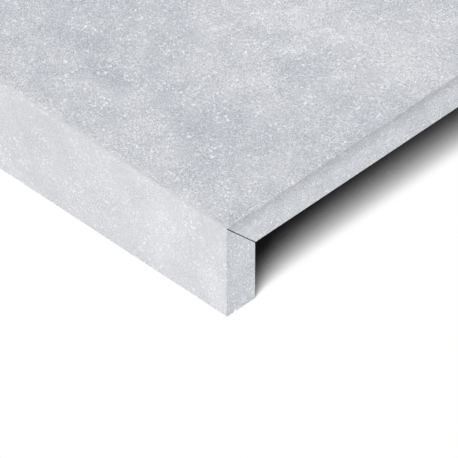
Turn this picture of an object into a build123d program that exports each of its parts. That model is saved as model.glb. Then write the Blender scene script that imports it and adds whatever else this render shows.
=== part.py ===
"""Porcelain pool coping tile with a mitred drop face.

All sizes are in millimetres. X runs along the pool's edge, the drop face looks along -Y
and Z is up. The origin is under the middle of the tile, level with the foot of the drop face.
"""

import os
from math import floor

from build123d import *

# One coping unit, overall
length = 600.0
depth = 300.0
drop_height = 55.0

# The two pieces of porcelain
slab_thickness = 20.0
drop_thickness = 19.0

# The glued mitre: its film of adhesive, and how far the film stops short of each end
glue_gap = 0.5
glue_set_back = 2.0

# The eased nose over the mitre, and the fine bevel that trues the other outer edges
nose_radius = 1.8
edge_bevel = 0.4

# The keyed back: shallow square recesses that the bedding adhesive grips
key_size = 24.0
key_rib = 6.0
key_depth = 0.8
key_draft = 30.0
slab_key_border = 12.0
drop_key_border = 5.0

# Where the faces lie
front = -depth / 2
back = depth / 2
drop_inner = front + drop_thickness
underside = drop_height - slab_thickness

# The mitre runs from the nose to the inner corner, and its normal points into the slab
mitre = Plane(
    origin=(0, front, drop_height),
    x_dir=(1, 0, 0),
    z_dir=(0, slab_thickness, drop_thickness),
)


def coping_section():
    """The whole L section, with its nose eased, before the mitre parts it in two."""
    with BuildSketch(Plane.YZ) as section:
        with BuildLine():
            Polyline(
                (front, 0),
                (front, drop_height),
                (back, drop_height),
                (back, underside),
                (drop_inner, underside),
                (drop_inner, 0),
                close=True,
            )
        make_face()
        nose = section.vertices().group_by(Axis.Y)[-1].sort_by(Axis.X)[0]
        fillet(nose, nose_radius)
    return section.sketch


def bevelled_edges(edges):
    """The edges round the face side: down both ends, along the back and along the foot."""
    at_ends = edges.filter_by(
        lambda e: abs(abs(e.center().X) - length / 2) < edge_bevel / 2
        and (e.center().Z > drop_height - nose_radius or e.center().Y < front + nose_radius)
    )
    along = edges.filter_by(Axis.X)
    back_edge = along.group_by(Axis.Z)[-1].sort_by(Axis.Y)[-1]
    foot_edge = along.group_by(Axis.Z)[0].sort_by(Axis.Y)[0]
    return at_ends + [back_edge, foot_edge]


def keys_across(room):
    """How many recesses, each a rib apart, go into a plain stretch of back."""
    return floor((room + key_rib) / (key_size + key_rib))


key_pitch = key_size + key_rib
key_columns = keys_across(length - 2 * slab_key_border)

# Deck slab: the horizontal piece, mitred along its front edge
key_rows = keys_across(back - drop_inner - 2 * slab_key_border)
key_field_middle = (drop_inner + back) / 2

with BuildPart() as deck_slab:
    extrude(coping_section(), amount=length / 2, both=True)
    chamfer(bevelled_edges(deck_slab.edges()), edge_bevel)
    split(bisect_by=mitre.offset(glue_gap / 2), keep=Keep.TOP)
    with BuildSketch(Plane.XY.offset(underside)):
        with Locations((0, key_field_middle)):
            with GridLocations(key_pitch, key_pitch, key_columns, key_rows):
                Rectangle(key_size, key_size)
    extrude(amount=key_depth, taper=key_draft, mode=Mode.SUBTRACT)
deck_slab.part.label = "deck_slab"

# Drop face: the upright strip under the nose, mitred along its top edge
drop_key_height = underside - 2 * drop_key_border
drop_back = Plane(origin=(0, drop_inner, underside / 2), x_dir=(1, 0, 0), z_dir=(0, -1, 0))

with BuildPart() as drop_face:
    extrude(coping_section(), amount=length / 2, both=True)
    chamfer(bevelled_edges(drop_face.edges()), edge_bevel)
    split(bisect_by=mitre.offset(-glue_gap / 2), keep=Keep.BOTTOM)
    with BuildSketch(drop_back):
        with GridLocations(key_pitch, key_pitch, key_columns, 1):
            Rectangle(key_size, drop_key_height)
    extrude(amount=key_depth, taper=key_draft, mode=Mode.SUBTRACT)
drop_face.part.label = "drop_face"

# Mitre adhesive: the film between the two pieces, flush at the nose and at the inner corner
with BuildPart() as mitre_adhesive:
    extrude(coping_section(), amount=length / 2 - glue_set_back, both=True)
    split(bisect_by=mitre.offset(-glue_gap / 2), keep=Keep.TOP)
    split(bisect_by=mitre.offset(glue_gap / 2), keep=Keep.BOTTOM)
mitre_adhesive.part.label = "mitre_adhesive"

os.makedirs("parts", exist_ok=True)
export_step(deck_slab.part, "parts/deck_slab.step")
export_step(drop_face.part, "parts/drop_face.step")
export_step(mitre_adhesive.part, "parts/mitre_adhesive.step")
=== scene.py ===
from math import atan2, cos, pi, radians, sin, sqrt, tan

import bmesh
import bpy
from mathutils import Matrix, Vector, noise


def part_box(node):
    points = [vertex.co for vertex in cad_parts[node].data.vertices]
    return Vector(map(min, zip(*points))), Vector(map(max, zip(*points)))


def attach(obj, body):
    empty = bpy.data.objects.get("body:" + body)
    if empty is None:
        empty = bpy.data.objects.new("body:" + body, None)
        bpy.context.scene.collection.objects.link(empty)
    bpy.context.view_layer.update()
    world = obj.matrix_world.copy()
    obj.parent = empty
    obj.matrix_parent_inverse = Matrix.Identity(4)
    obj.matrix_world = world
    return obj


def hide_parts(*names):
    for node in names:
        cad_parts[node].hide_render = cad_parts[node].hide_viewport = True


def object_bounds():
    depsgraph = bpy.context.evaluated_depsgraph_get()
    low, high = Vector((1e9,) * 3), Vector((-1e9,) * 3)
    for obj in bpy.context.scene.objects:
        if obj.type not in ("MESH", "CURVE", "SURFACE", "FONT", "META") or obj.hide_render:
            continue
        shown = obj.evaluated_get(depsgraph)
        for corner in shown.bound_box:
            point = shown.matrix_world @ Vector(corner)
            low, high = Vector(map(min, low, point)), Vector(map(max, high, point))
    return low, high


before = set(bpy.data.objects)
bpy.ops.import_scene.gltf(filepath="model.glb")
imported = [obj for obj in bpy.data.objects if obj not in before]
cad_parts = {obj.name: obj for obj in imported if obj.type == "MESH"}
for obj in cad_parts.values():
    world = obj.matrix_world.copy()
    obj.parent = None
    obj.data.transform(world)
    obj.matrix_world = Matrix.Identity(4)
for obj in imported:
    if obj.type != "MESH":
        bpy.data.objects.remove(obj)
cad_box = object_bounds()

# Where the tile's faces lie, read from the frame
LOW, HIGH = cad_box
HALF_LENGTH = HIGH.x
FRONT, BACK, TOP = LOW.y, HIGH.y, HIGH.z
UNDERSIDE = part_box("deck_slab")[0].z
DROP_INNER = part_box("drop_face")[1].y
SLAB_THICKNESS = TOP - UNDERSIDE
DROP_THICKNESS = DROP_INNER - FRONT

# The joint, the eased edges and the keyed back, as they are built
MM = 0.001
GLUE_GAP = 0.5 * MM
GLUE_SET_BACK = 2.0 * MM
NOSE_RADIUS = 1.8 * MM
EDGE_BEVEL = 0.4 * MM
KEY_SIZE = 24.0 * MM
KEY_RIB = 6.0 * MM
KEY_DEPTH = 0.8 * MM
KEY_DRAFT = radians(30)
SLAB_KEY_BORDER = 12.0 * MM
DROP_KEY_BORDER = 5.0 * MM

# Right at the nose, a skin of adhesive this deep goes on nearly to the ends of the tile
GLUE_SKIN = 1.6 * MM
GLUE_TIP_SET_BACK = 0.3 * MM

# The waver of the worn edges: the length of each wave, and its share of the nose's radius or of the bevel
NOSE_WAVES = ((22 * MM, 0.30), (8 * MM, 0.22))
BEVEL_WAVES = ((11 * MM, 0.35), (3.5 * MM, 0.30))
LEAST_BEVEL = 0.35

# Which line of the noise an edge follows: the nose's, each piece's own, and how much further on its left
# end's and its far edge's are. The noise is 0 at whole numbers, so OFF_GRID keeps every line off them
NOSE_SEED, SLAB_SEED, DROP_SEED = 3.1, 11.3, 23.9
LEFT_END_ON, FAR_EDGE_ON = 7.7, 4.4
OFF_GRID = 0.37

# The nick in the foot's right end: how far in from the front, and its width, height and depth
NICK_IN = 5.3 * MM
NICK_WIDTH, NICK_HEIGHT, NICK_DEPTH = 1.8 * MM, 1.8 * MM, 0.8 * MM

# How finely the worn edges are divided, and how near to each other two places count as one
EDGE_STEP = 1.0 * MM
EDGE_MARGIN = 1.2 * MM
NOSE_STEPS = 10
NOSE_STEP = 0.2 * MM
WELD = 0.01 * MM
NEAR = 0.05 * MM

# The materials of a porcelain piece, in the order of its slots
FACE, CUT, KEYED, SAWN_SHADE, CHIPPED = range(5)

# The photograph's view: a parallel one, so a very long lens stands far off
PHOTO_SIZE = 458
PHOTO_PX_PER_M = 2130.0
PHOTO_AZIMUTH = radians(44.67)
PHOTO_ELEVATION = radians(41.1)
NOSE_CORNER_PX = (226.7, 229.0)
LENS_MM = 1600.0
SENSOR_MM = 36.0
CLIP_NEAR, CLIP_FAR = 0.1, 60.0

# The nose: the share of its own colour and the share of the flecks lost on its worn line, and the share of
# the grain that is left on its crest
NOSE_WEAR = 0.6
NOSE_FLECKS_LOST = 0.4
CREST_GRAIN = 0.45

# The ends, all painted shade: how dark a face is painted on the bevel at its ends, how much darker a cut
# end is painted just under its face, and between which millimetres below it that painted shade fades
RIM_SHADE = 0.82
END_SHADE = {"top": 0.26, "front": 0.07}
END_SHADE_FULL, END_SHADE_REACH = 0.9, 8.8

# The face: the share of the grid's cells that hold a fleck in dark and in pale clouds, how high a fleck
# stands beside the grain, how rough its smoothest and its roughest grains are, and how it shines
FLECK_SHARES = (0.16, 0.5)
FLECK_HEIGHT = 0.5
FACE_ROUGHNESS = (0.55, 0.70)
FACE_SPECULAR = 0.3

# Large pale and dark clouds that the photograph shows: how far each lies from the right end and, on the
# top, from the front or, on the front, below the top, how far it reaches, all in millimetres, and how
# much paler or darker it is
TOP_CLOUDS = (
    (24, 144, 56, 0.32), (114, 130, 34, 0.26), (84, 98, 34, 0.12), (102, 22, 28, 0.22),
    (14, 186, 30, 0.06), (150, 54, 48, -0.17), (108, 52, 34, -0.20), (44, 46, 46, -0.19),
    (58, 116, 20, -0.05), (10, 98, 30, -0.17), (75, 132, 30, 0.54), (124, 38, 28, -0.36),
    (18, 42, 22, -0.16), (92, 82, 18, 0.20), (46, 166, 30, -0.10), (88, 32, 22, 0.12),
)
FRONT_CLOUDS = ((47, 26, 25, 0.50), (138, 26, 55, -0.25), (38, 50, 22, 0.25), (20, 10, 16, -0.10))

# Light on the object: an even studio round it and one low, soft lamp from the front
STUDIO_LEVEL = 0.86
LAMP_LEVEL = 0.47
LAMP_DIRECTION = (0.46, -0.86, 0.24)
LAMP_SOFTNESS = radians(30)

# The floor: its half width, how far it lies below the foot, how pale it is in the light that it throws
# back, and its shadow. The shadow follows the share of the room, out to SHADOW_REACH, that lies open to the
# floor about a direction that leans to the front. It is deepest at a share of SHADOW_FULL, gone at one of
# SHADOW_GONE and bent by SHADOW_CURVE in between
FLOOR_HALF = 20.0
FLOOR_BELOW = 0.05 * MM
FLOOR_LEAN = -0.6
FLOOR_BOUNCE = 0.8
SHADOW_REACH = 1.0
SHADOW_SAMPLES = 64
SHADOW_FULL, SHADOW_GONE = 0.245, 0.490
SHADOW_CURVE = 1.55
SHADOW_DARKEST = 0.007


def camera():
    """Looks along the photograph's direction, with the nose's corner at its pixel."""
    data = bpy.data.cameras.new("camera")
    data.lens, data.sensor_width = LENS_MM, SENSOR_MM
    data.clip_start, data.clip_end = CLIP_NEAR, CLIP_FAR
    made = bpy.data.objects.new("camera", data)
    bpy.context.collection.objects.link(made)
    a, e = PHOTO_AZIMUTH, PHOTO_ELEVATION
    back = Vector((sin(a) * cos(e), -cos(a) * cos(e), sin(e)))
    right = Vector((cos(a), sin(a), 0))
    up = back.cross(right)
    corner = Vector((HALF_LENGTH, FRONT, TOP))
    off_right = (PHOTO_SIZE / 2 - NOSE_CORNER_PX[0]) / PHOTO_PX_PER_M
    off_up = (NOSE_CORNER_PX[1] - PHOTO_SIZE / 2) / PHOTO_PX_PER_M
    aim = corner + right * off_right + up * off_up
    distance = PHOTO_SIZE / PHOTO_PX_PER_M * LENS_MM / SENSOR_MM
    made.location = aim + back * distance
    made.rotation_mode = "QUATERNION"
    made.rotation_quaternion = (-back).to_track_quat("-Z", "Y")
    bpy.context.scene.camera = made


def feed(tree, socket, value):
    """Links the socket where the value is a socket too, and sets it where it isn't."""
    if isinstance(value, bpy.types.NodeSocket):
        tree.links.new(value, socket)
    else:
        socket.default_value = value


def add(tree, kind, inputs=None, **settings):
    """A node with its settings and its inputs, which are named or numbered."""
    made = tree.nodes.new(kind)
    for name, value in settings.items():
        setattr(made, name, value)
    for key, value in (inputs or {}).items():
        feed(tree, made.inputs[key], value)
    return made


def calc(tree, operation, *values, clamp=False):
    made = add(tree, "ShaderNodeMath", dict(enumerate(values)), operation=operation, use_clamp=clamp)
    return made.outputs[0]


def vector(tree, operation, *values):
    made = add(tree, "ShaderNodeVectorMath", operation=operation)
    for key, value in enumerate(values):
        feed(tree, made.inputs["Scale" if operation == "SCALE" and key == 1 else key], value)
    return made.outputs["Value" if operation == "DISTANCE" else "Vector"]


def ramp(tree, value, low, high, to_low=0.0, to_high=1.0, kind="SMOOTHSTEP"):
    """to_low where the value is low or less, to_high where it is high or more, and between them between."""
    sockets = {"Value": value, "From Min": low, "From Max": high, "To Min": to_low, "To Max": to_high}
    return add(tree, "ShaderNodeMapRange", sockets, interpolation_type=kind).outputs[0]


def blend(tree, share, first, second):
    """The first colour where the share is 0 and the second where it is 1."""
    share_in, first_in, second_in, colour_out = 0, 6, 7, 2
    inputs = {share_in: share, first_in: first, second_in: second}
    return add(tree, "ShaderNodeMix", inputs, data_type="RGBA").outputs[colour_out]


def scaled_noise(tree, position, size, detail, roughness, distortion=0.0):
    """Noise about 0, whose largest blotches are about size millimetres apart."""
    scale = 1.0 / size if isinstance(size, float) else calc(tree, "DIVIDE", 1.0, size)
    made = add(tree, "ShaderNodeTexNoise", {
        "Vector": position, "Scale": scale, "Detail": detail, "Roughness": roughness,
        "Distortion": distortion})
    return calc(tree, "SUBTRACT", made.outputs["Fac"], 0.5)


def ragged(tree, away, position, amount, size, detail=2.0, roughness=0.6):
    """A distance made uneven by noise, so that the border drawn along it is ragged."""
    return calc(tree, "MULTIPLY_ADD", scaled_noise(tree, position, size, detail, roughness), amount, away)


def in_from(tree, position, face):
    """How many millimetres a place lies in from the top, from the front or from the nearer end."""
    axes = add(tree, "ShaderNodeSeparateXYZ", {"Vector": position}).outputs
    if face == "top":
        return calc(tree, "SUBTRACT", TOP / MM, axes["Z"])
    if face == "front":
        return calc(tree, "SUBTRACT", axes["Y"], FRONT / MM)
    return calc(tree, "SUBTRACT", HALF_LENGTH / MM, calc(tree, "ABSOLUTE", axes["X"]))


def group(name, kind, inputs, outputs):
    """An empty node group with its named sockets, and its two end nodes."""
    tree = bpy.data.node_groups.new(name, kind)
    for socket, (socket_kind, value) in inputs.items():
        made = tree.interface.new_socket(socket, in_out="INPUT", socket_type=socket_kind)
        if value is not None:
            made.default_value = value
    for socket, socket_kind in outputs.items():
        tree.interface.new_socket(socket, in_out="OUTPUT", socket_type=socket_kind)
    return tree, tree.nodes.new("NodeGroupInput").outputs, tree.nodes.new("NodeGroupOutput").inputs


def pattern(name, output, **inputs):
    """A group that gives each place one value. An input without a value of its own is a place."""
    sockets = {"Position mm": ("NodeSocketVector", None)}
    for key, value in inputs.items():
        kind = "NodeSocketVector" if value is None else "NodeSocketFloat"
        sockets[key.replace("_", " ")] = (kind, value)
    tree, given, result = group(name, "ShaderNodeTree", sockets, {output: "NodeSocketFloat"})
    return tree, given, given["Position mm"], result[output]


def cloud_group():
    """The soft pale and dark clouds of the stone look, 0 in the dark and 1 in the pale."""
    tree, given, position, result = pattern(
        "stone_clouds", "Cloud", Cloud_mm=60.0, Cloud_strength=1.5, Mottle_mm=13.0, Mottle_strength=1.6)
    large = scaled_noise(tree, position, given["Cloud mm"], detail=2.0, roughness=0.6, distortion=0.3)
    small = scaled_noise(tree, position, given["Mottle mm"], detail=3.0, roughness=0.7)
    mottled = calc(tree, "MULTIPLY_ADD", small, given["Mottle strength"], 0.5)
    both = calc(tree, "MULTIPLY_ADD", large, given["Cloud strength"], mottled, clamp=True)
    tree.links.new(both, result)
    return tree


def patch_group():
    """One soft cloud about a centre, ragged at its border: its lift in the middle, 0 beyond its reach."""
    tree, given, position, result = pattern("cloud_patch", "Lift", Centre_mm=None, Reach_mm=30.0, Lift=0.2)
    away = vector(tree, "DISTANCE", position, given["Centre mm"])
    share = calc(tree, "DIVIDE", away, given["Reach mm"])
    border = ragged(tree, share, position, amount=1.6, size=16.0, detail=3.0, roughness=0.7)
    inside = ramp(tree, border, 0.05, 1.0, 1.0, 0.0)
    tree.links.new(calc(tree, "MULTIPLY", inside, given["Lift"]), result)
    return tree


def grain_group():
    """The fine grain of the pressed face, about -1 to 1: stronger in some patches than in others, and
    stronger where it is pale than where it is dark."""
    tree, given, position, result = pattern("pressed_grain", "Grain", Grain_mm=0.55)
    fine = scaled_noise(tree, position, given["Grain mm"], detail=1.0, roughness=0.7, distortion=0.4)
    patch_mm, weakest, strongest, more_in_pale = 14.0, 2.3, 4.3, 0.55
    patch = scaled_noise(tree, position, patch_mm, detail=2.0, roughness=0.5)
    patchy = calc(tree, "MULTIPLY", fine, ramp(tree, patch, -0.2, 0.2, weakest, strongest, "LINEAR"))
    paler = calc(tree, "MULTIPLY_ADD", patchy, more_in_pale, 1.0)
    tree.links.new(calc(tree, "MULTIPLY", patchy, paler), result)
    return tree


def fleck_group():
    """White flecks, 1 in a fleck: specks of two sizes and short crooked strokes, most in clusters."""
    tree, given, position, result = pattern("white_flecks", "Flecks", Spacing_mm=2.5, Share=0.3)
    cluster_mm, outside_cluster, inside_cluster = 11.0, 0.12, 2.8
    cluster = scaled_noise(tree, position, cluster_mm, detail=3.0, roughness=0.7)
    crowd = ramp(tree, cluster, -0.08, 0.16, outside_cluster, inside_cluster, "LINEAR")
    swings_per_mm, swing_mm, middle = 1.1, 2.0, (0.5, 0.5, 0.5)
    wobble = add(tree, "ShaderNodeTexNoise", {"Vector": position, "Scale": swings_per_mm, "Detail": 1.0})
    swing = vector(tree, "SUBTRACT", wobble.outputs["Color"], middle)
    crooked = vector(tree, "ADD", position, vector(tree, "SCALE", swing, swing_mm))

    def specks(spacing, share, least, most):
        """Crooked specks, one in a cell of a loose grid, and only in some of the cells. The least and
        most that a speck reaches are shares of the spacing."""
        cells = add(tree, "ShaderNodeTexVoronoi", {
            "Vector": crooked, "Scale": calc(tree, "DIVIDE", 1.0, spacing), "Randomness": 1.0})
        luck = add(tree, "ShaderNodeSeparateColor", {"Color": cells.outputs["Color"]})
        present = calc(tree, "LESS_THAN", luck.outputs["Red"], calc(tree, "MULTIPLY", share, crowd))
        reach = ramp(tree, luck.outputs["Green"], 0.0, 1.0, least, most, "LINEAR")
        full_white = 0.7
        full_reach = calc(tree, "MULTIPLY", reach, full_white)
        dot = ramp(tree, cells.outputs["Distance"], full_reach, reach, 1.0, 0.0)
        return calc(tree, "MULTIPLY", dot, present)

    large = specks(given["Spacing mm"], given["Share"], least=0.14, most=0.33)
    small_spacing, small_share = 0.34, 0.7
    closer = calc(tree, "MULTIPLY", given["Spacing mm"], small_spacing)
    fewer = calc(tree, "MULTIPLY", given["Share"], small_share)
    small = specks(closer, fewer, least=0.24, most=0.42)
    stroke_apart_mm, stroke_long_mm, stroke_core, stroke_border = 1.7, 2.2, 0.028, 0.074
    wave = scaled_noise(tree, position, stroke_apart_mm, detail=1.0, roughness=0.5, distortion=0.8)
    line = ramp(tree, calc(tree, "ABSOLUTE", wave), stroke_core, stroke_border, 1.0, 0.0)
    cut = scaled_noise(tree, position, stroke_long_mm, detail=1.0, roughness=0.5)
    length = ramp(tree, cut, 0.05, 0.11)
    stroke_outside_cluster = 0.1
    clustered = ramp(tree, cluster, -0.10, 0.10, stroke_outside_cluster, 1.0)
    strokes = calc(tree, "MULTIPLY", calc(tree, "MULTIPLY", line, length), clustered)
    both = calc(tree, "MAXIMUM", large, small)
    tree.links.new(calc(tree, "MAXIMUM", both, strokes), result)
    return tree


def nose_group():
    """The ground and worn line of the nose, which also places the painted shade on its crest: 1 on its
    crest, 0 some way back and some way down.
    """
    tree, given, position, result = pattern(
        "nose_wear_and_shade", "Wear", Reach_back_mm=5.4, Reach_down_mm=3.2, Full_share=0.0)
    behind = calc(tree, "DIVIDE", in_from(tree, position, "front"), given["Reach back mm"])
    below = calc(tree, "DIVIDE", in_from(tree, position, "top"), given["Reach down mm"])
    away = calc(tree, "MAXIMUM", behind, below)
    border = ragged(tree, away, position, amount=0.8, size=8.0, detail=3.0)
    tree.links.new(ramp(tree, border, given["Full share"], 1.0, 1.0, 0.0, "LINEAR"), result)
    return tree


def rim_group():
    """Painted shade on a face at an end of the tile: 1 on its bevel, faint behind that and 0 further in."""
    tree, given, position, result = pattern("end_rim_painted_shade", "Rim", Reach_mm=5.0)
    inwards = in_from(tree, position, "end")
    border = ragged(tree, inwards, position, amount=1.2, size=6.0)
    faint_from_mm, faintness, bevel_full_mm, bevel_end_mm = 0.3, 0.1, 0.1, 0.45
    faint = ramp(tree, border, faint_from_mm, given["Reach mm"], faintness, 0.0)
    on_bevel = ramp(tree, inwards, bevel_full_mm, bevel_end_mm, 1.0, 0.0)
    tree.links.new(calc(tree, "MAXIMUM", faint, on_bevel), result)
    return tree


def band_group():
    """Where a face gets a band of painted shade beside each end of the tile: 1 near the end, 0 beyond its
    reach.
    """
    tree, given, position, result = pattern("end_band_shade", "Band", Full_mm=2.0, Reach_mm=10.0)
    border = ragged(tree, in_from(tree, position, "end"), position, amount=4.0, size=9.0)
    tree.links.new(ramp(tree, border, given["Full mm"], given["Reach mm"], 1.0, 0.0, "LINEAR"), result)
    return tree


GROUPS = {"clouds": cloud_group(), "patch": patch_group(), "grain": grain_group(), "flecks": fleck_group(),
          "nose": nose_group(), "rim": rim_group(), "band": band_group()}


def use(tree, name, position, **inputs):
    """The value that a pattern has at a place, with the inputs that differ from its own."""
    sockets = {"Position mm": position}
    sockets.update({key.replace("_", " "): value for key, value in inputs.items()})
    return add(tree, "ShaderNodeGroup", sockets, node_tree=GROUPS[name]).outputs[0]


def new_material(name):
    """A material, its tree, its shader, and the place on the piece in millimetres."""
    material = bpy.data.materials.new(name)
    material.use_nodes = True
    tree = material.node_tree
    place = add(tree, "ShaderNodeTexCoord").outputs["Object"]
    return material, tree, tree.nodes["Principled BSDF"], vector(tree, "SCALE", place, 1 / MM)


def raise_relief(tree, shader, height, relief_mm):
    """A relief too fine for the mesh, relief_mm high where the height is 1."""
    bump = add(tree, "ShaderNodeBump", {"Height": height, "Distance": relief_mm * MM})
    tree.links.new(bump.outputs["Normal"], shader.inputs["Normal"])


def roughen(tree, shader, grain, smooth, rough):
    """Smooth in the grain's low spots and rough on its high ones."""
    tree.links.new(ramp(tree, grain, -1.0, 1.0, smooth, rough, "LINEAR"), shader.inputs["Roughness"])


def porcelain(name, dark, pale, fleck_colour, grain, flecks, relief, grain_mm, mottle=1.6, patches=(),
              nose=None, crest=0.0, nose_lift=0.0, end_band_shade=0.0, shade_under=None):
    """The stone-look porcelain, its colours linear. A face is worn at the nose to the nose's colour, is
    darker by crest on its round as painted shade, and has painted shade on its bevel at the ends. Its
    clouds are paler by nose_lift behind the nose and darker by end_band_shade beside the ends, a band of
    painted shade. A cut end is darkened under its own face by painted shade instead: shade_under names that
    face."""
    material, tree, shader, position = new_material(name)
    cloud = use(tree, "clouds", position, Mottle_strength=mottle)
    for centre, reach, lift in patches:
        patch = use(tree, "patch", position, Centre_mm=centre, Reach_mm=float(reach), Lift=lift)
        cloud = calc(tree, "ADD", cloud, patch)
    if nose_lift:
        behind_nose = use(tree, "nose", position, Reach_back_mm=12.0, Full_share=0.3)
        cloud = calc(tree, "MULTIPLY_ADD", behind_nose, nose_lift, cloud)
    # A band of painted shade beside the ends, darkening the clouds there
    if end_band_shade:
        cloud = calc(tree, "MULTIPLY_ADD", use(tree, "band", position), -end_band_shade, cloud)
    fine = use(tree, "grain", position, Grain_mm=grain_mm)
    fleck = use(tree, "flecks", position, Share=ramp(tree, cloud, 0.1, 0.9, *FLECK_SHARES, "LINEAR"))
    tone = blend(tree, cloud, (*dark, 1), (*pale, 1))

    if shade_under:
        # Painted shade on a cut end, darkest just under its face and fading further below
        under = ragged(tree, in_from(tree, position, shade_under), position, amount=0.8, size=7.0)
        deepest = 1 - END_SHADE[shade_under]
        shade = ramp(tree, under, END_SHADE_FULL, END_SHADE_REACH, deepest, 1.0, "LINEAR")
        contrast = grain
    else:
        worn = use(tree, "nose", position)
        # Painted shade on the nose's round: on_crest darkens it by crest, and also thins the grain there
        on_crest = use(tree, "nose", position, Reach_back_mm=1.7, Reach_down_mm=1.8, Full_share=0.4)
        # Painted shade on the bevel at each end, and faintly behind it
        rim_shade = ramp(tree, use(tree, "rim", position), 0.0, 1.0, 1.0, RIM_SHADE, "LINEAR")
        shade = calc(tree, "MULTIPLY", rim_shade, calc(tree, "MULTIPLY_ADD", on_crest, -crest, 1.0))
        contrast = ramp(tree, on_crest, 0.0, 1.0, grain, CREST_GRAIN * grain, "LINEAR")
        tone = blend(tree, calc(tree, "MULTIPLY", worn, NOSE_WEAR), tone, (*nose, 1))
        fleck = calc(tree, "MULTIPLY", fleck, calc(tree, "MULTIPLY_ADD", worn, -NOSE_FLECKS_LOST, 1.0))
    tone = vector(tree, "SCALE", tone, calc(tree, "MULTIPLY_ADD", fine, contrast, 1.0))
    tone = blend(tree, calc(tree, "MULTIPLY", fleck, flecks), tone, (*fleck_colour, 1))
    tree.links.new(vector(tree, "SCALE", tone, shade), shader.inputs["Base Color"])

    raise_relief(tree, shader, calc(tree, "MULTIPLY_ADD", fleck, FLECK_HEIGHT, fine), relief)
    roughen(tree, shader, fine, *FACE_ROUGHNESS)
    shader.inputs["Specular IOR Level"].default_value = FACE_SPECULAR
    return material


def pressed_back():
    """The unglazed back, plain and faintly granular."""
    material, tree, shader, position = new_material("pressed_back")
    cloud = use(tree, "clouds", position)
    fine = use(tree, "grain", position, Grain_mm=0.8)
    tone = blend(tree, cloud, (0.44, 0.44, 0.44, 1), (0.53, 0.525, 0.515, 1))
    grain_contrast = 0.08
    granular = vector(tree, "SCALE", tone, calc(tree, "MULTIPLY_ADD", fine, grain_contrast, 1.0))
    tree.links.new(granular, shader.inputs["Base Color"])
    raise_relief(tree, shader, fine, relief_mm=0.12)
    roughen(tree, shader, fine, smooth=0.8, rough=0.92)
    return material


def plain(name, dark, pale, grain_mm, smooth, rough):
    """A plain, finely granular finish: dark to pale in its grain, and smooth to rough."""
    material, tree, shader, position = new_material(name)
    fine = use(tree, "grain", position, Grain_mm=grain_mm)
    tone = blend(tree, ramp(tree, fine, -1.0, 1.0, kind="LINEAR"), (*dark, 1), (*pale, 1))
    tree.links.new(tone, shader.inputs["Base Color"])
    roughen(tree, shader, fine, smooth, rough)
    return material


# The inputs of the keyed back's layout. Key across runs along the tile, and Draft is how far a recess's
# sides draw in on the way down
KEY_LAYOUT = {"Columns": 1, "Rows": 1, "Key across": KEY_SIZE, "Key along": KEY_SIZE, "Rib": KEY_RIB,
              "Depth": KEY_DEPTH, "Draft": KEY_DEPTH * tan(KEY_DRAFT)}


def keyed_field_group():
    """Lays out the field of recesses in a keyed back, flat and about the middle, as one mesh."""
    sockets = {name: ("NodeSocketInt" if isinstance(value, int) else "NodeSocketFloat", value)
               for name, value in KEY_LAYOUT.items()}
    sockets["Finish"] = ("NodeSocketMaterial", None)
    tree, given, result = group("keyed_field", "GeometryNodeTree", sockets, {"Field": "NodeSocketGeometry"})
    pitch_x = calc(tree, "ADD", given["Key across"], given["Rib"])
    pitch_y = calc(tree, "ADD", given["Key along"], given["Rib"])
    tile = add(tree, "GeometryNodeMeshGrid", {
        "Size X": pitch_x, "Size Y": pitch_y, "Vertices X": 2, "Vertices Y": 2})

    def sunk(mesh, last_face, shrink, depth):
        """The last face of the tile, drawn in to a rectangle about the middle and sunk."""
        pulled = add(tree, "GeometryNodeExtrudeMesh", {
            "Mesh": mesh, "Selection": last_face, "Offset Scale": 0.0}, mode="FACES")
        place = add(tree, "GeometryNodeInputPosition").outputs[0]
        side = add(tree, "ShaderNodeSeparateXYZ", {"Vector": vector(tree, "SIGN", place)})
        half_x = calc(tree, "SUBTRACT", calc(tree, "MULTIPLY", given["Key across"], 0.5), shrink)
        half_y = calc(tree, "SUBTRACT", calc(tree, "MULTIPLY", given["Key along"], 0.5), shrink)
        corner = add(tree, "ShaderNodeCombineXYZ", {
            "X": calc(tree, "MULTIPLY", side.outputs["X"], half_x),
            "Y": calc(tree, "MULTIPLY", side.outputs["Y"], half_y), "Z": depth})
        placed = add(tree, "GeometryNodeSetPosition", {
            "Geometry": pulled.outputs["Mesh"], "Selection": pulled.outputs["Top"],
            "Position": corner.outputs[0]})
        return placed.outputs[0], pulled.outputs["Top"]

    everything = add(tree, "FunctionNodeInputBool", boolean=True).outputs[0]
    rimmed, inner_face = sunk(tile.outputs["Mesh"], everything, 0.0, 0.0)
    recess, _ = sunk(rimmed, inner_face, given["Draft"], given["Depth"])
    index = add(tree, "GeometryNodeInputIndex").outputs[0]
    column = calc(tree, "MODULO", index, given["Columns"])
    row = calc(tree, "FLOOR", calc(tree, "DIVIDE", calc(tree, "ADD", index, 0.5), given["Columns"]))

    def centred(count, number, pitch):
        middle = calc(tree, "MULTIPLY", calc(tree, "SUBTRACT", count, 1.0), 0.5)
        return calc(tree, "MULTIPLY", calc(tree, "SUBTRACT", number, middle), pitch)

    spot = add(tree, "ShaderNodeCombineXYZ", {
        "X": centred(given["Columns"], column, pitch_x), "Y": centred(given["Rows"], row, pitch_y)})
    points = add(tree, "GeometryNodePoints", {
        "Count": calc(tree, "MULTIPLY", given["Columns"], given["Rows"]), "Position": spot.outputs[0]})
    tiles = add(tree, "GeometryNodeInstanceOnPoints", {"Points": points.outputs[0], "Instance": recess})
    real = add(tree, "GeometryNodeRealizeInstances", {"Geometry": tiles.outputs[0]})
    welded = add(tree, "GeometryNodeMergeByDistance", {"Geometry": real.outputs[0], "Distance": WELD})
    done = add(tree, "GeometryNodeSetMaterial", {
        "Geometry": welded.outputs[0], "Material": given["Finish"]})
    tree.links.new(done.outputs[0], result["Field"])
    return tree


KEYED_FIELD = keyed_field_group()


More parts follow.
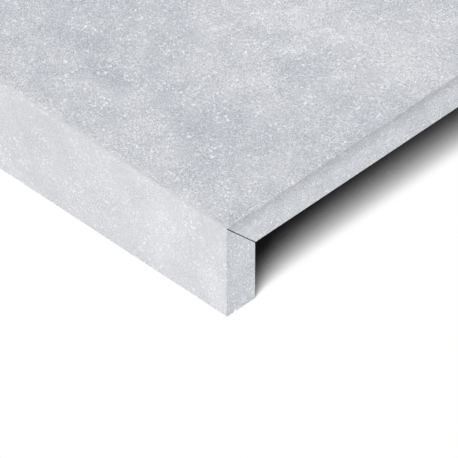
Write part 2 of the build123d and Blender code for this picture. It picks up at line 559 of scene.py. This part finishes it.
def keyed_field(columns, rows, key_along, material):
    """The field of one keyed back as a plain mesh."""
    values = KEY_LAYOUT | {"Columns": columns, "Rows": rows, "Key along": key_along, "Finish": material}
    holder = bpy.data.objects.new("keyed_field", bpy.data.meshes.new("keyed_field"))
    bpy.context.collection.objects.link(holder)
    maker = holder.modifiers.new("keyed_field", "NODES")
    maker.node_group = KEYED_FIELD
    for socket in KEYED_FIELD.interface.items_tree:
        if socket.in_out == "INPUT":
            maker[socket.identifier] = values[socket.name]
    evaluated = holder.evaluated_get(bpy.context.evaluated_depsgraph_get())
    mesh = bpy.data.meshes.new_from_object(evaluated)
    bpy.data.objects.remove(holder)
    return mesh


def wander(x, seed, waves):
    """Smooth noise along an edge, from waves that each have a length and a size."""
    return sum(size * noise.noise(Vector((x / length, seed, OFF_GRID))) for length, size in waves)


def nose_radius_at(x):
    return NOSE_RADIUS * (1 + wander(x, NOSE_SEED, NOSE_WAVES))


def bevel_at(along, seed):
    return EDGE_BEVEL * max(LEAST_BEVEL, 1 + wander(along, seed, BEVEL_WAVES))


class Section:
    """A piece's cross-section. u runs along its face from the nose and v runs into its body.
    The mitre leaves the nose for the inner corner, half the glue's gap inside the piece."""

    def __init__(self, place, far, thickness, run):
        self.place, self.far, self.thickness = place, far, thickness
        length = sqrt(run * run + thickness * thickness)
        self.along = (run / length, thickness / length)
        self.start = (self.along[1] * GLUE_GAP / 2, -self.along[0] * GLUE_GAP / 2)

    def mitre_foot(self):
        """u where the mitre comes out at the back."""
        reach = (self.thickness - self.start[1]) / self.along[1]
        return self.start[0] + reach * self.along[0]

    def nose(self, radius, inset):
        """Points round the eased nose, from the mitre to where the flat face begins."""
        out = radius - inset
        off = (self.start[0] - radius, self.start[1] - radius)
        toward = off[0] * self.along[0] + off[1] * self.along[1]
        reach = -toward - sqrt(toward * toward - (off[0] ** 2 + off[1] ** 2 - out * out))
        u, v = off[0] + reach * self.along[0], off[1] + reach * self.along[1]
        first = atan2(-u, -v)
        turns = [first * (1 - k / NOSE_STEPS) for k in range(NOSE_STEPS + 1)]
        return [(radius - out * sin(a), radius - out * cos(a)) for a in turns]

    def u_of(self, point):
        """How far along the face a point lies."""
        start = self.place(0, 0, 0)
        return (point - start).dot(self.place(0, 1, 0) - start)


def slab_place(x, u, v):
    return Vector((x, FRONT + u, TOP - v))


def drop_place(x, u, v):
    return Vector((x, FRONT + v, TOP - u))


SLAB = Section(slab_place, BACK - FRONT, SLAB_THICKNESS, DROP_THICKNESS)
DROP = Section(drop_place, TOP, DROP_THICKNESS, SLAB_THICKNESS)


def steps(low, high, step):
    count = max(1, round((high - low) / step))
    return [low + (high - low) * k / count for k in range(count + 1)]


def nick(mesh, section, cover):
    """The nick in the foot at the right end. Gives its outline on the end and on the foot's edge."""

    def corner(across, up, inwards):
        """A corner whose place is given in shares of the nick's width, height and depth."""
        x, u = HALF_LENGTH - inwards * NICK_DEPTH, section.far - up * NICK_HEIGHT
        return mesh.verts.new(section.place(x, u, NICK_IN + across * NICK_WIDTH))

    outer = [corner(-0.5, 0, 0), corner(-0.15, 1, 0), corner(0.2, 0.8, 0), corner(0.5, 0, 0)]
    deepest = [corner(-0.12, 0.6, 1), corner(0.18, 0.55, 1)]
    lip = [corner(-0.25, 0, 0.3), corner(0.3, 0, 0.3)]
    for ring in ((outer[0], outer[1], deepest[0]), (outer[0], deepest[0], lip[0]),
                 (outer[1], outer[2], deepest[1]), (outer[1], deepest[1], deepest[0]),
                 (outer[2], outer[3], deepest[1]), (outer[3], lip[1], deepest[1]),
                 (deepest[0], deepest[1], lip[1]), (deepest[0], lip[1], lip[0])):
        cover(ring, CHIPPED)
    return outer, [outer[0], *lip, outer[3]]


def porcelain_piece(name, section, field, field_middle, materials, seed, nicked=False):
    """One mitred piece: a worn skin, two cut ends, the far edge, the mitre and the keyed back."""
    mesh = bmesh.new()
    mesh.from_mesh(field)
    for vert in mesh.verts:
        vert.co = section.place(vert.co.x, field_middle + vert.co.y, section.thickness - vert.co.z)
    field_verts = list(mesh.verts)
    for face in mesh.faces:
        face.material_index = KEYED

    # The skin is a grid. Its first and last two columns are the bevels of the ends. Its rows go round the
    # nose, along the face and over the bevel of the far edge
    xs = steps(-HALF_LENGTH + EDGE_MARGIN, HALF_LENGTH - EDGE_MARGIN, EDGE_STEP)
    us = steps(2 * NOSE_RADIUS, section.far - EDGE_MARGIN, EDGE_STEP)
    columns, rows = len(xs) + 4, NOSE_STEPS + len(us) + 3
    last_column, last_row = columns - 1, rows - 1

    def skin(i, j):
        """The node of the skin in column i, from end to end, and row j, from the mitre to the far edge."""
        left = i < 2
        at_end = left or i > last_column - 2
        outer = i in (0, last_column)
        x = (-HALF_LENGTH if left else HALF_LENGTH) if at_end else xs[i - 2]
        along = j * NOSE_STEP if j <= NOSE_STEPS else us[min(j - NOSE_STEPS - 1, len(us) - 1)]
        plain_corner = at_end and j > last_row - 2
        bevel = EDGE_BEVEL if plain_corner else bevel_at(along, seed + (LEFT_END_ON if left else 0.0))
        inset = bevel if outer else 0.0
        radius = nose_radius_at(x)
        if at_end and not outer:
            x += bevel if left else -bevel
        if j <= NOSE_STEPS:
            u, v = section.nose(radius, inset)[j]
        elif j <= last_row - 2:
            u, v = us[j - NOSE_STEPS - 1], inset
        else:
            far_bevel = EDGE_BEVEL if at_end else bevel_at(x, seed + FAR_EDGE_ON)
            u, v = (section.far - far_bevel, inset) if j == last_row - 1 else (section.far, far_bevel)
        return mesh.verts.new(section.place(x, u, v))

    inner_columns = range(2, last_column - 1)
    inner_rows = range(NOSE_STEPS + 1, last_row - 1)
    nodes = {(i, j): skin(i, j) for i in range(columns) for j in range(rows)
             if not (i in inner_columns and j in inner_rows)}

    def cover(ring, material, smooth=False):
        made = mesh.faces.new(ring)
        made.material_index = material
        made.smooth = smooth

    # The worn edges, with the two corners of the far edge in triangles, and the flat face as one
    for i in range(last_column):
        for j in range(last_row):
            if 1 <= i < last_column - 1 and NOSE_STEPS <= j < last_row - 1:
                continue
            a, b, c, d = nodes[i, j], nodes[i + 1, j], nodes[i + 1, j + 1], nodes[i, j + 1]
            if j == last_row - 1 and i == 0:
                rings = (b, c, d), (b, d, a)
            elif j == last_row - 1 and i == last_column - 1:
                rings = (a, b, c), (a, c, d)
            else:
                rings = ((a, b, c, d),)
            for ring in rings:
                cover(ring, FACE, smooth=True)
    near_row, far_row = NOSE_STEPS, last_row - 1
    cover([nodes[i, near_row] for i in range(1, last_column)]
          + [nodes[last_column - 1, j] for j in range(near_row + 1, far_row)]
          + [nodes[i, far_row] for i in range(last_column - 1, 0, -1)]
          + [nodes[1, j] for j in range(far_row - 1, near_row, -1)], FACE)

    # The cut ends, the far edge and the mitre
    near_left, near_right, far_left, far_right = (
        mesh.verts.new(section.place(x, u, section.thickness))
        for u in (section.mitre_foot(), section.far) for x in (-HALF_LENGTH, HALF_LENGTH))
    on_end, on_edge = nick(mesh, section, cover) if nicked else ([], [])
    cover([nodes[last_column, j] for j in range(rows)] + on_end + [far_right, near_right], CUT)
    cover([nodes[0, j] for j in range(rows)] + [far_left, near_left], CUT)
    cover([nodes[i, last_row] for i in range(columns)] + on_edge + [far_right, far_left], CUT)
    cover([nodes[i, 0] for i in range(columns)] + [near_right, near_left], SAWN_SHADE)

    # The plain borders of the back, round the field of recesses
    along_x = {vert: vert.co.x for vert in field_verts}
    along_u = {vert: section.u_of(vert.co) for vert in field_verts}

    def side(first, second, across, along, outermost):
        """The border of the back from its two corners to the side of the field that lies next to it."""
        edge = outermost(across.values())
        beside = sorted((vert for vert in field_verts if abs(across[vert] - edge) < NEAR), key=along.get)
        cover([first, second] + beside[::-1], KEYED)

    side(near_left, near_right, along_u, along_x, min)
    side(far_left, far_right, along_u, along_x, max)
    side(near_left, far_left, along_x, along_u, min)
    side(near_right, far_right, along_x, along_u, max)

    bmesh.ops.recalc_face_normals(mesh, faces=mesh.faces)
    return finished(name, mesh, materials)


def finished(name, mesh, materials):
    data = bpy.data.meshes.new(name)
    mesh.to_mesh(data)
    mesh.free()
    for material in materials:
        data.materials.append(material)
    made = bpy.data.objects.new(name, data)
    bpy.context.collection.objects.link(made)
    return made


def glue_film(name, material):
    """The adhesive, worn with the nose outside and cut square to the corner inside. Behind the nose it
    stops short of each end of the tile."""
    mesh = bmesh.new()

    def ring(x, nose_x):
        """Its corners at one place along the tile, up the slab's side of the joint and down the other."""
        radius = nose_radius_at(nose_x)
        slab_u, slab_v = SLAB.nose(radius, 0.0)[0]
        drop_u, drop_v = DROP.nose(radius, 0.0)[0]
        run, fall = SLAB.along[0] * GLUE_SKIN, SLAB.along[1] * GLUE_SKIN
        points = (SLAB.place(nose_x, slab_u, slab_v),
                  SLAB.place(x, slab_u + run, slab_v + fall),
                  SLAB.place(x, SLAB.mitre_foot(), SLAB_THICKNESS),
                  Vector((x, DROP_INNER, UNDERSIDE)),
                  DROP.place(x, DROP.mitre_foot(), DROP_THICKNESS),
                  DROP.place(x, drop_u + fall, drop_v + run),
                  DROP.place(nose_x, drop_u, drop_v))
        return [mesh.verts.new(point) for point in points]

    reach = HALF_LENGTH - GLUE_SET_BACK
    xs = steps(-reach, reach, EDGE_STEP)
    tip = HALF_LENGTH - GLUE_TIP_SET_BACK
    rings = [ring(-reach, -tip)] + [ring(x, x) for x in xs[1:-1]] + [ring(reach, tip)]
    for first, second in zip(rings, rings[1:]):
        for k in range(len(first)):
            after = (k + 1) % len(first)
            mesh.faces.new((first[k], first[after], second[after], second[k]))
    for end in (rings[0], rings[-1]):
        mesh.faces.new((end[0], end[1], end[5], end[6]))
        mesh.faces.new(end[1:6])
    bmesh.ops.recalc_face_normals(mesh, faces=mesh.faces)
    return finished(name, mesh, [material])


def keys_across(room):
    """How many recesses, each a rib apart, go into a plain stretch of back."""
    rounding = 1e-6
    return int((room + KEY_RIB) / (KEY_SIZE + KEY_RIB) + rounding)


def pieces():
    back = pressed_back()
    right, front, high = HALF_LENGTH / MM, FRONT / MM, TOP / MM
    top_patches = [((right - off, front + behind, high), reach, lift)
                   for off, behind, reach, lift in TOP_CLOUDS]
    front_patches = [((right - off, front, high - below), reach, lift)
                     for off, below, reach, lift in FRONT_CLOUDS]
    # crest is painted shade on the nose's round, and end_band_shade is a band of painted shade beside the
    # ends
    top = porcelain(
        "glazed_top", dark=(0.493, 0.520, 0.563), pale=(0.708, 0.716, 0.751),
        fleck_colour=(0.965, 0.975, 1.0), grain=0.78, flecks=1.0, relief=0.10, grain_mm=0.40, mottle=1.05,
        patches=top_patches, nose=(0.703, 0.707, 0.712), crest=0.18, nose_lift=0.06, end_band_shade=0.14)
    upright = porcelain(
        "glazed_upright", dark=(0.526, 0.532, 0.555), pale=(0.636, 0.641, 0.669),
        fleck_colour=(0.888, 0.895, 0.934), grain=0.57, flecks=0.60, relief=0.07, grain_mm=0.44,
        mottle=0.82, patches=front_patches, nose=(0.603, 0.611, 0.622), crest=0.045)
    slab_cut = porcelain(
        "slab_cut", dark=(0.520, 0.538, 0.579), pale=(0.658, 0.672, 0.700),
        fleck_colour=(0.91, 0.925, 0.96), grain=1.12, flecks=0.9, relief=0.08, grain_mm=0.40,
        shade_under="top")
    drop_cut = porcelain(
        "drop_cut", dark=(0.508, 0.526, 0.567), pale=(0.638, 0.654, 0.684),
        fleck_colour=(0.89, 0.91, 0.945), grain=0.74, flecks=0.84, relief=0.08, grain_mm=0.41,
        shade_under="front")
    # The mitre's sawn faces are painted near black: painted shade that darkens the slit of the joint
    sawn_shade = plain("sawn_mitre_painted_shade", dark=(0.16, 0.16, 0.16), pale=(0.24, 0.24, 0.235), grain_mm=0.8,
                 smooth=0.75, rough=0.9)
    filler = plain("joint_filler", dark=(0.495, 0.505, 0.516), pale=(0.600, 0.612, 0.625), grain_mm=1.2,
                   smooth=0.5, rough=0.65)
    chipped = plain("fresh_chip", dark=(0.83, 0.84, 0.86), pale=(0.90, 0.91, 0.93), grain_mm=0.8,
                    smooth=0.75, rough=0.9)

    columns = keys_across(2 * HALF_LENGTH - 2 * SLAB_KEY_BORDER)
    rows = keys_across(BACK - DROP_INNER - 2 * SLAB_KEY_BORDER)
    slab_field = keyed_field(columns, rows, KEY_SIZE, back)
    slab = porcelain_piece("deck_slab_worn", SLAB, slab_field, (DROP_THICKNESS + BACK - FRONT) / 2,
                           (top, slab_cut, back, sawn_shade), SLAB_SEED)
    drop_field = keyed_field(columns, 1, UNDERSIDE - 2 * DROP_KEY_BORDER, back)
    drop = porcelain_piece("drop_face_worn", DROP, drop_field, TOP - UNDERSIDE / 2,
                           (upright, drop_cut, back, sawn_shade, chipped), DROP_SEED, nicked=True)
    film = glue_film("mitre_adhesive_worn", filler)
    for piece, node, slot in ((slab, "deck_slab", "slab_porcelain"), (drop, "drop_face", "drop_porcelain"),
                              (film, "mitre_adhesive", "joint_adhesive")):
        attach(piece, "root")
        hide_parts(node)


def studio():
    """Even light all round, white to the camera, and one soft lamp low in front."""
    world = bpy.data.worlds.new("studio")
    bpy.context.scene.world = world
    world.use_nodes = True
    tree = world.node_tree
    tree.nodes.clear()
    seen = camera_rays(tree)
    even = add(tree, "ShaderNodeBackground", {"Color": (1, 1, 1, 1), "Strength": STUDIO_LEVEL})
    white = add(tree, "ShaderNodeBackground", {"Color": (1, 1, 1, 1), "Strength": 1.0})
    mixed = add(tree, "ShaderNodeMixShader", {0: seen, 1: even.outputs[0], 2: white.outputs[0]})
    add(tree, "ShaderNodeOutputWorld", {"Surface": mixed.outputs[0]})

    lamp = bpy.data.lights.new("low_lamp", "SUN")
    lamp.energy, lamp.angle = LAMP_LEVEL * pi, LAMP_SOFTNESS
    made = bpy.data.objects.new("low_lamp", lamp)
    made.rotation_mode = "QUATERNION"
    made.rotation_quaternion = Vector(LAMP_DIRECTION).to_track_quat("Z", "Y")
    bpy.context.collection.objects.link(made)


def camera_rays(tree):
    """1 for a ray that shows the background to the camera, straight or in a reflection."""
    path = add(tree, "ShaderNodeLightPath").outputs
    straight = calc(tree, "MAXIMUM", path["Is Camera Ray"], path["Is Glossy Ray"])
    return calc(tree, "MAXIMUM", straight, path["Is Transmission Ray"])


def floor():
    """A white floor that darkens where the tile hides most of the room from it. Seen from below, it is
    clear, so that it doesn't hide the tile's back."""
    data = bpy.data.meshes.new("floor")
    corners = [(-FLOOR_HALF, -FLOOR_HALF), (FLOOR_HALF, -FLOOR_HALF),
               (FLOOR_HALF, FLOOR_HALF), (-FLOOR_HALF, FLOOR_HALF)]
    data.from_pydata([(x, y, LOW.z - FLOOR_BELOW) for x, y in corners], [], [(0, 1, 2, 3)])
    made = bpy.data.objects.new("floor", data)
    bpy.context.collection.objects.link(made)
    material = bpy.data.materials.new("floor_white")
    material.use_nodes = True
    tree = material.node_tree
    tree.nodes.clear()
    toward_front = add(tree, "ShaderNodeCombineXYZ", {"X": 0.0, "Y": FLOOR_LEAN, "Z": 1.0}).outputs[0]
    leaning = vector(tree, "NORMALIZE", toward_front)
    openness = add(tree, "ShaderNodeAmbientOcclusion", {
        "Distance": SHADOW_REACH, "Normal": leaning}, samples=SHADOW_SAMPLES)
    share = ramp(tree, openness.outputs["AO"], SHADOW_FULL, SHADOW_GONE, 0.0, 1.0, "LINEAR")
    bent = calc(tree, "POWER", share, SHADOW_CURVE)
    shade = calc(tree, "MULTIPLY_ADD", bent, 1 - SHADOW_DARKEST, SHADOW_DARKEST)
    shown = add(tree, "ShaderNodeEmission", {"Color": (1, 1, 1, 1), "Strength": shade})
    bounce = add(tree, "ShaderNodeBsdfDiffuse", {"Color": (FLOOR_BOUNCE, FLOOR_BOUNCE, FLOOR_BOUNCE, 1)})
    seen = camera_rays(tree)
    from_above = add(tree, "ShaderNodeMixShader", {0: seen, 1: bounce.outputs[0], 2: shown.outputs[0]})
    from_below = calc(tree, "MULTIPLY", seen, add(tree, "ShaderNodeNewGeometry").outputs["Backfacing"])
    clear = add(tree, "ShaderNodeBsdfTransparent")
    mixed = add(tree, "ShaderNodeMixShader", {0: from_below, 1: from_above.outputs[0], 2: clear.outputs[0]})
    add(tree, "ShaderNodeOutputMaterial", {"Surface": mixed.outputs[0]})
    data.materials.append(material)


camera()
studio()
floor()
pieces()
bpy.context.scene.view_settings.view_transform = "Standard"
